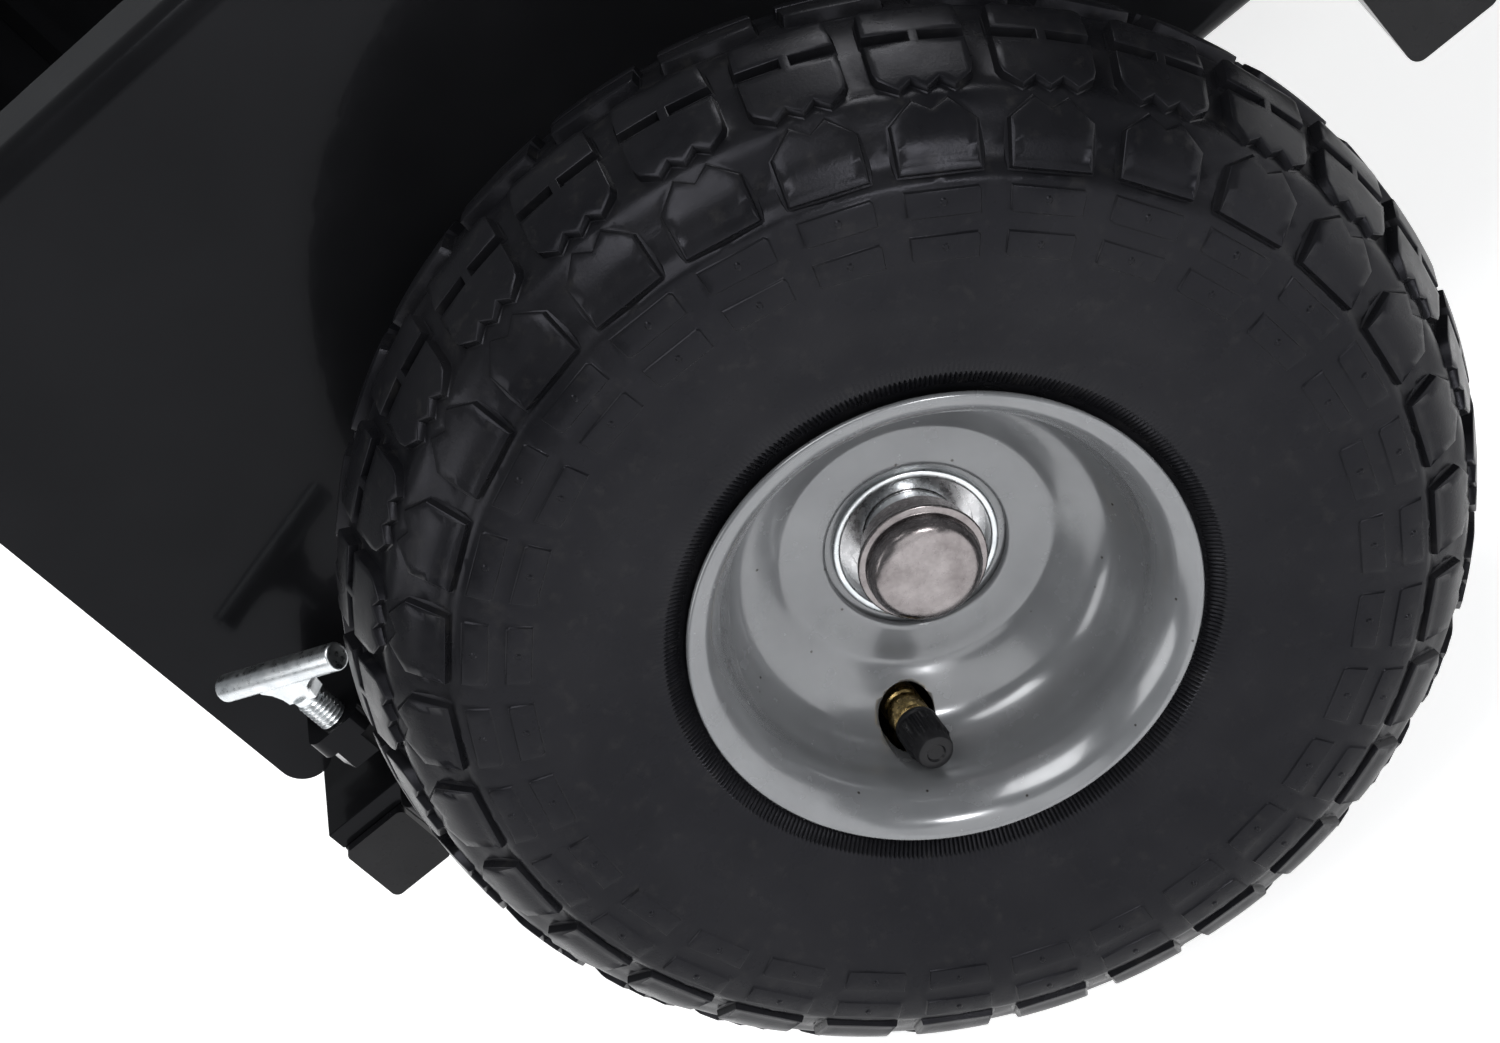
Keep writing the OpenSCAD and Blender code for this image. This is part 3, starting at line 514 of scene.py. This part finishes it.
def tread_cell():
    """One pitch of the outboard half, centred on its block: points (angle, s, height) and faces."""
    coords, heights, edges = [], [], []

    def add(angle, s, height):
        coords.append(Vector((angle * DEGREE, s)))
        heights.append(height)

    def ring(loop, height):
        first = len(coords)
        for a, s in loop:
            add(a, s, height(a, s))
        edges.extend((first + k, first + (k + 1) % len(loop)) for k in range(len(loop)))

    raised = []     # (outline, its top's height, width of the wall's foot)
    raised.append((BLOCK, lambda a, s: 0.0, 0.55))
    raised.append((LUG, lambda a, s: lug_height(s), 0.6))
    for s0, s1 in PADS:
        h = PAD_HALF
        pad = [(-h, s0), (h - 0.3, s0), (h, s0 + 0.6), (h, s1), (-h + 0.3, s1), (-h, s1 - 0.6)]
        raised.append((pad, lambda a, s: PAD_HEIGHT, 0.35))
    for loop, top, foot in raised:
        ring(grown(loop, -TOP_INSET), top)
        ring(loop, lambda a, s, top=top: corner_height(top(a, s), floor_height(a, s)))
        ring(grown(loop, foot * 0.75), lambda a, s: floor_height(a, s) + 0.12)
        ring(grown(loop, foot * 1.35), floor_height)
    for s0, s1 in PADS:
        middle = (s0 + s1) / 2
        ring(disc(middle, DOT_TOP_R), lambda a, s: PAD_HEIGHT + DOT_HEIGHT)
        ring(disc(middle, DOT_FOOT_R), lambda a, s: PAD_HEIGHT)

    for s in MESH_ROWS:
        count = SIDE_STEPS if s == RIB_FROM else COLUMNS
        for k in range(count + 1):
            a = -PITCH / 2 + PITCH * k / count
            edge = k in (0, count) or s in (0, RIB_FROM)
            level = floor_height(a, s) if s < PLAIN_FROM else 0.0
            if not edge:
                near = [(loop, top) for loop, top, foot in raised if inside((a, s), grown(loop, foot * 1.6))]
                if near:
                    loop, top = near[0]
                    if not inside((a, s), grown(loop, -0.6)):
                        continue
                    if s > PLAIN_FROM and abs(a) < 0.8:
                        continue
                    level = top(a, s)
            add(a, s, level)
    points, _, faces, sources, _, _ = geometry.delaunay_2d_cdt(coords, edges, [], 0, 1e-5)
    cell = [(p.x / DEGREE, p.y, heights[src[0]] if src else 0.0) for p, src in zip(points, sources)]
    return cell, faces


def bead_cell(first):
    """The ribbed bead and the tyre's inside for one pitch. first is where its points start."""
    points, faces = [], []
    rib_rows = [(RIB_FROM, 0.0), (RIB_FROM + 0.4, RIB_HEIGHT / 2), (RIB_FROM + 0.8, RIB_HEIGHT),
                (LINE_LENGTH - 0.6, RIB_HEIGHT), (LINE_LENGTH - 0.2, RIB_HEIGHT / 2), (LINE_LENGTH, 0.0)]
    rings = []
    for s, rise in rib_rows:
        ring = []
        for k in range(SIDE_STEPS + 1):
            a = -PITCH / 2 + PITCH * k / SIDE_STEPS
            phase = k % (SIDE_STEPS // RIBS)
            ring.append(first + len(points))
            points.append(on_tyre(a, s, rise * (1.0, 0.35, -1.0, 0.35)[phase]))
        rings.append(ring)
    for n, depth in BEAD_LINE:
        ring = []
        for k in range(BEAD_COLUMNS + 1):
            a = math.radians(-PITCH / 2 + PITCH * k / BEAD_COLUMNS)
            r = CROWN_R - depth
            ring.append(first + len(points))
            points.append((r * math.sin(a), r * math.cos(a), n))
        rings.append(ring)
    for a, b in zip(rings, rings[1:]):
        if len(a) == len(b):
            faces += [[a[k], a[k + 1], b[k + 1], b[k]] for k in range(len(a) - 1)]
        else:
            step = (len(a) - 1) // (len(b) - 1)
            faces += [[*a[k * step:(k + 1) * step + 1], b[k + 1], b[k]] for k in range(len(b) - 1)]
    return points, faces


def tyre(side):
    """Both halves of the tyre; the inboard half's tread is half a pitch round from the other's."""
    cell, cell_faces = tread_cell()
    half = [on_tyre(a, s, h) for a, s, h in cell]
    faces = [list(f) for f in cell_faces]
    more, more_faces = bead_cell(len(half))
    half += more
    faces += more_faces
    parts = []
    for flip in (1, -1):
        start = TREAD_START + (0 if flip == 1 else PITCH / 2)
        for k in range(PITCHES):
            turn = Matrix.Rotation(-math.radians(start + PITCH * k), 3, "Z")
            parts.append(([turn @ Vector((x, y, z * flip)) for x, y, z in half], faces))
    mesh = built("tyre_tread_" + side, parts, in_wheel(side))
    piece("tyre_tread_" + side, mesh, ["tyre_" + side], "tyre_rubber", sharp=38.0)


# ---- Rim, hub, cap and valve -----------------------------------------------------------------

SHEET = 2.0                # thickness of the rim's sheet
# One face of the sheet from the centre to the lip: (radius, height); the inner half is turned over
RIM_CENTRE = [(22, 1.5), (26, 1.5), (30, 1.55), (32.5, 2.1), (35.5, 4.0), (39, 6.0), (43, 8)]
RIM_INNER_CENTRE = [(19.4, -1.5), (25, -1.5), (30, -1.45), (32.5, -0.9), (35.5, 1.2), (39, 4.0),
                    (43, 7.2)]
RIM_WELL = [(46, 11), (48.5, 15.5), (50.2, 21), (50.6, 26), (51.2, 29), (52.6, 32), (54.6, 34.6),
            (57.2, 36)]
VALVE_X, VALVE_Y = -28.6, -30.4      # the valve's hole, in the wheel's frame
VALVE_SEAT = 8.0           # height of the hole the stem leans in
VALVE_LEAN = Euler((math.radians(4), math.radians(9), 0))
VALVE_HOLE_R = 6.75
ELBOW_LENGTH = 17.2        # length of the stem's lower end, which runs out towards the tube
ELBOW_HEIGHT = 4.2
ELBOW_R = 2.4
CAP_RIBS = 20
CAP_SEGMENTS = 160


def at_valve(leaning=False):
    """From the valve's frame to the wheel's; a leaning valve is tipped about the height of its hole."""
    if not leaning:
        return Matrix.Translation((VALVE_X, VALVE_Y, 0))
    lean = VALVE_LEAN.to_matrix().to_4x4()
    return Matrix.Translation((VALVE_X, VALVE_Y, VALVE_SEAT)) @ lean @ Matrix.Translation((0, 0, -VALVE_SEAT))


def cut(obj, tool_mesh):
    """Takes a solid out of a piece."""
    tool = bpy.data.objects.new("cutter", tool_mesh)
    bpy.context.scene.collection.objects.link(tool)
    step = obj.modifiers.new("hole", "BOOLEAN")
    step.object = tool
    step.operation = "DIFFERENCE"
    step.solver = "EXACT"
    bpy.context.view_layer.update()
    result = bpy.data.meshes.new_from_object(obj.evaluated_get(bpy.context.evaluated_depsgraph_get()))
    obj.modifiers.clear()
    obj.data = result
    bpy.data.objects.remove(tool)


def rims(side):
    place = in_wheel(side)
    for half, centre, flip in (("outer", RIM_CENTRE, 1), ("inner", RIM_INNER_CENTRE, -1)):
        line = curve_through(centre + RIM_WELL, 4)
        outline = [(r, z * flip) for r, z in sheet_section(line, SHEET)]
        name = f"rim_{half}_pressing_{side}"
        obj = piece(name, built(name, [lathed(outline, 160)], place), [f"rim_{half}_{side}"], "rim_paint", 40)
        if half == "outer":
            drill = lathed([(0, 0), (VALVE_HOLE_R, 0), (VALVE_HOLE_R, 25), (0, 25)], 48)
            cut(obj, built("cutter", [drill], place @ at_valve()))


def valve(side):
    """The stem with its elbow, and the ribbed cap on it."""
    place = in_wheel(side) @ at_valve(leaning=True)
    body = rounded([(0, 1.7), (4.75, 1.7), (4.75, 6.5), (4.2, 7.2), (4.2, 8.2), (4.75, 8.9), (4.75, 13.6),
                    (3.9, 15.0), (3.9, 19), (0, 19)], [0, 0.2, 0.2, 0.2, 0.2, 0.2, 0.5, 0.2, 0.3, 0])
    stem = moved(place, lathed(body, 48))
    outward = Matrix.Rotation(math.atan2(VALVE_Y, VALVE_X), 4, "Z") @ Matrix.Rotation(math.pi / 2, 4, "Y")
    bend = in_wheel(side) @ at_valve() @ Matrix.Translation((0, 0, ELBOW_HEIGHT)) @ outward
    elbow = moved(bend, lathed([(0, 0), (ELBOW_R, 0), (ELBOW_R, ELBOW_LENGTH), (0, ELBOW_LENGTH)], 24))
    name = "valve_body_" + side
    piece(name, built(name, [stem, elbow]), ["valve_stem_" + side], "valve_brass", 40)

    # The cap's rings: (radius, height, how much its ribs rise and fall)
    rows = [(3.95, 15.1, 0), (5.0, 15.1, 0), (5.15, 15.4, 0), (5.15, 16.3, 0), (4.75, 16.7, 0),
            (4.95, 17.3, 0.28), (4.95, 23.6, 0.28), (4.6, 24.6, 0.1), (4.5, 25.0, 0), (4.5, 26.9, 0),
            (4.1, 27.7, 0), (3.4, 28.0, 0), (2.3, 28.0, 0), (1.9, 27.5, 0), (0.0, 27.4, 0)]
    points = []
    for r, z, deep in rows:
        for k in range(CAP_SEGMENTS):
            a = 2 * math.pi * k / CAP_SEGMENTS
            wave = max(-0.6, min(0.6, math.cos(CAP_RIBS * a))) / 0.6
            points.append(((r + deep * wave) * math.cos(a), (r + deep * wave) * math.sin(a), z))
    outside = (points, band(len(rows), CAP_SEGMENTS))
    under = lathed([(3.95, 15.1), (3.95, 20.0), (0, 20.0)], CAP_SEGMENTS, closed=False)
    name = "valve_cap_ribbed_" + side
    piece(name, built(name, [outside, under], place), ["valve_cap_" + side], "black_plastic", 32)


def axle_caps():
    cap = rounded([(8.05, 3.3), (8.05, 12.3), (0, 12.3), (0, 17.0), (6.0, 16.95), (9.8, 16.7), (12.0, 15.9),
                   (13.2, 14.0), (13.2, 11.3), (15.0, 11.1), (15.0, 9.9), (13.2, 9.7), (13.2, 3.3)],
                  [0.2, 0.2, 0, 0, 2.0, 1.6, 1.2, 1.2, 0.3, 0.5, 0.5, 0.3, 0.3])
    parts = [moved(in_wheel(side), lathed(cap, 96)) for side in SIDES]
    piece("axle_caps_pressed", built("axle_caps_pressed", parts), ["axle_caps"], "cap_steel", 40)


def hub(side):
    ring = rounded([(17.5, -49), (19.3, -49), (19.3, 3), (17.5, 3), (17.5, -14), (15, -14), (15, -37),
                    (17.5, -37)], [0.4, 0.6, 0.7, 0.5, 0.2, 0.3, 0.3, 0.2])
    name = "hub_tube_" + side
    piece(name, built(name, [lathed(ring, 128)], in_wheel(side)), ["hub_" + side], "zinc_steel", 40)


# ---- Clamp screws ----------------------------------------------------------------------------

SCREW_X = 143.5            # distance of the screw behind the axle
SCREW_Y = 317.1            # and from the cart's middle
SCREW_FOOT = 155.0         # heights above the ground
THREAD_TOP = 176.5
WEB_FOOT = 177.0
HANDLE_Z = 186.0
BAR_TURN = math.radians(35)
THREAD_PITCH = 1.25
THREAD_R = 3.98
SHANK_SEGMENTS = 36


def threaded_shank():
    """An M8 shank as one surface whose radius follows the thread round and along it."""
    per_pitch = 8
    count = int((THREAD_TOP - SCREW_FOOT - 1.6) / THREAD_PITCH * per_pitch)
    points = []
    rows = [(SCREW_FOOT, 2.6, 0.0), (SCREW_FOOT + 0.8, 3.3, 0.2)]
    rows += [(SCREW_FOOT + 1.4 + THREAD_PITCH * i / per_pitch, THREAD_R, 1.0) for i in range(count)]
    rows += [(THREAD_TOP, 3.6, 0.0), (THREAD_TOP + 1.5, 3.6, 0.0)]
    for z, r, cut_in in rows:
        for k in range(SHANK_SEGMENTS):
            a = 2 * math.pi * k / SHANK_SEGMENTS
            turn = (z / THREAD_PITCH - k / SHANK_SEGMENTS) % 1.0
            groove = 0.62 * min(1.0, max(0.0, 1.15 - 2.6 * abs(turn - 0.5)))
            rr = r - groove * cut_in
            points.append((rr * math.cos(a), rr * math.sin(a), z))
    faces = band(len(rows), SHANK_SEGMENTS)
    faces.append(list(range(SHANK_SEGMENTS)))
    faces.append(list(range((len(rows) - 1) * SHANK_SEGMENTS, len(rows) * SHANK_SEGMENTS)))
    return points, faces


def slab(outline, thick, edge=0.6):
    """A flat plate on both sides of the plane z = 0, with its edges broken."""
    loop = [Vector(p) for p in outline]
    middle = sum(loop, Vector((0, 0))) / len(loop)
    inner = [p + (middle - p).normalized() * edge for p in loop]
    half = thick / 2
    points, count = [], len(loop)
    for ring, z in ((inner, -half), (loop, edge - half), (loop, half - edge), (inner, half)):
        points += [(p.x, p.y, z) for p in ring]
    faces = band(4, count)
    faces.append(list(range(count)))
    faces.append(list(range(3 * count, 4 * count)))
    return points, faces


def clamp_screw(side):
    node = "clamp_screw_rear_" + side
    # In this frame +y is outboard; the bar runs from rear inboard to front outboard
    lie = Matrix.Rotation(BAR_TURN, 4, "Z")
    along = lie @ Matrix.Translation((0, 0, HANDLE_Z)) @ Matrix.Rotation(math.pi / 2, 4, "Y")
    bar = rounded([(0, -22), (3.5, -22), (3.5, 22), (0, 22)], [0, 0.9, 0.9, 0], 4)
    handle = moved(along, lathed(bar, 40))
    upright = lie @ Matrix.Rotation(math.pi / 2, 4, "X")
    web = moved(upright, slab([(-5.0, WEB_FOOT), (5.0, WEB_FOOT), (5.5, 179.2), (7.2, 181.6), (10.0, 183.2),
                               (9.6, HANDLE_Z), (-9.6, HANDLE_Z), (-10.0, 183.2), (-7.2, 181.6),
                               (-5.5, 179.2)], 5.0))
    place = in_bed(side, -SCREW_X, SCREW_Y, 0)
    piece(node + "_threaded", built(node, [handle, web, threaded_shank()], place), [node], "zinc_steel", 30)


# ---- The rest of the object ------------------------------------------------------------------

# Pieces that are neither replaced above nor bevelled below keep their CAD shape.
for node, obj in frame["nodes"].items():
    obj.data.materials.clear()
    obj.data.materials.append(MATERIALS[SLOT_OF[node]])
    obj.data.shade_smooth()
    obj.data.set_sharp_from_angle(angle=math.radians(30))

for side in SIDES:
    tyre(side)
    rims(side)
    hub(side)
    valve(side)
    clamp_screw(side)
axle_caps()

EDGES = {        # width of the broken edges
    "side_panel_right": 0.45, "side_panel_left": 0.45, "floor_panel": 0.4, "front_panel": 0.4,
    "tailgate": 0.4, "tailgate_channels": 0.5, "rear_cross_tube": 1.2, "front_cross_tube": 1.5,
    "nose_cross_tube": 1.2, "tube_end_caps": 0.7, "pivot_rails": 0.6, "clamp_plates": 0.6,
    "clamp_tabs": 0.6, "drawbar": 1.6, "drawbar_plug": 0.8, "drawbar_braces": 1.0, "brace_eyes": 0.5,
    "axle_brackets": 0.5, "rest_pad": 1.0, "latch_bracket": 0.5, "hitch_clevis": 1.0, "pin_tab": 0.7,
    "parking_stand": 0.6, "stand_bolts": 0.4, "latch_lever": 0.6, "axle_sleeves": 0.3,
    "pivot_collars": 0.4, "bed_mounts": 0.8, "latch_striker": 0.4, "bed_rivets": 0.4,
}
for node, width in EDGES.items():
    bevelled(node, width)


# ---- Camera, floor and lights ----------------------------------------------------------------

WHEEL = (-0.487, -0.36, 0.131)      # the right wheel's centre, in metres
FLOOR_HALF = 16.0                   # half the floor's width, in metres


def make_camera():
    """The photo's camera, solved from the circles of the rim and the tyre's bead."""
    data = bpy.data.cameras.new("camera")
    data.sensor_width = 36.0
    data.lens = 76.5
    data.clip_start, data.clip_end = 0.01, 50.0
    right = Vector((0.759, -0.1601, -0.6311)).normalized()
    back = Vector((0.2227, -0.847, 0.4827))
    back = (back - right * back.dot(right)).normalized()
    turn = Matrix((right, back.cross(right), back)).transposed().to_4x4()
    cam = bpy.data.objects.new("camera", data)
    cam.matrix_world = Matrix.Translation((-0.3511, -0.9678, 0.5077)) @ turn
    bpy.context.scene.collection.objects.link(cam)
    bpy.context.scene.camera = cam


def make_floor():
    """A wide pale floor that glows a little, so that it comes out near white."""
    bm = bmesh.new()
    bmesh.ops.create_grid(bm, x_segments=8, y_segments=8, size=FLOOR_HALF)
    mesh = bpy.data.meshes.new("floor")
    bm.to_mesh(mesh)
    bm.free()
    m = Nodes("pale_floor")
    m.set(Specular_IOR_Level=0.2, Emission_Color=(1.0, 1.0, 1.0, 1.0), Emission_Strength=0.70)
    m.colour(m.mix(m.spread(m.noise(400, 3), 0.3, 0.7), (0.90, 0.90, 0.905), (0.93, 0.93, 0.935)))
    m.roughness(m.spread(m.noise(90, 3), 0.3, 0.7, 0.6, 0.7))
    mesh.materials.append(m.material)
    floor = bpy.data.objects.new("floor", mesh)
    floor.location.z = -0.0005
    bpy.context.scene.collection.objects.link(floor)


def area_light(name, at, aim, size, watts):
    data = bpy.data.lights.new(name, "AREA")
    data.shape = "RECTANGLE"
    data.size, data.size_y = size
    data.energy = watts
    light = bpy.data.objects.new(name, data)
    light.location = at
    light.rotation_euler = (Vector(aim) - Vector(at)).to_track_quat("-Z", "Y").to_euler()
    bpy.context.scene.collection.objects.link(light)


make_camera()
make_floor()
area_light("front_lamp", (0.23, -1.56, 0.80), WHEEL, (0.28, 0.28), 8.5)
area_light("front_softbox", (-0.35, -2.0, 0.55), WHEEL, (1.1, 0.9), 5)
area_light("back_strip", (0.50, 0.46, 1.15), WHEEL, (0.55, 0.55), 8)
area_light("top_softbox", (-0.35, -0.75, 1.7), WHEEL, (1.0, 0.8), 17)
area_light("rear_fill", (-1.9, -0.9, 1.0), WHEEL, (0.9, 0.9), 9)
area_light("left_softbox", (-0.3, 2.4, 0.8), (-0.3, 0.0, 0.2), (1.6, 1.0), 14)
world = bpy.data.worlds.new("studio")
world.use_nodes = True
world.node_tree.nodes["Background"].inputs["Color"].default_value = (0.93, 0.96, 1.0, 1.0)
world.node_tree.nodes["Background"].inputs["Strength"].default_value = 0.24
bpy.context.scene.world = world
bpy.context.scene.view_settings.view_transform = "Standard"
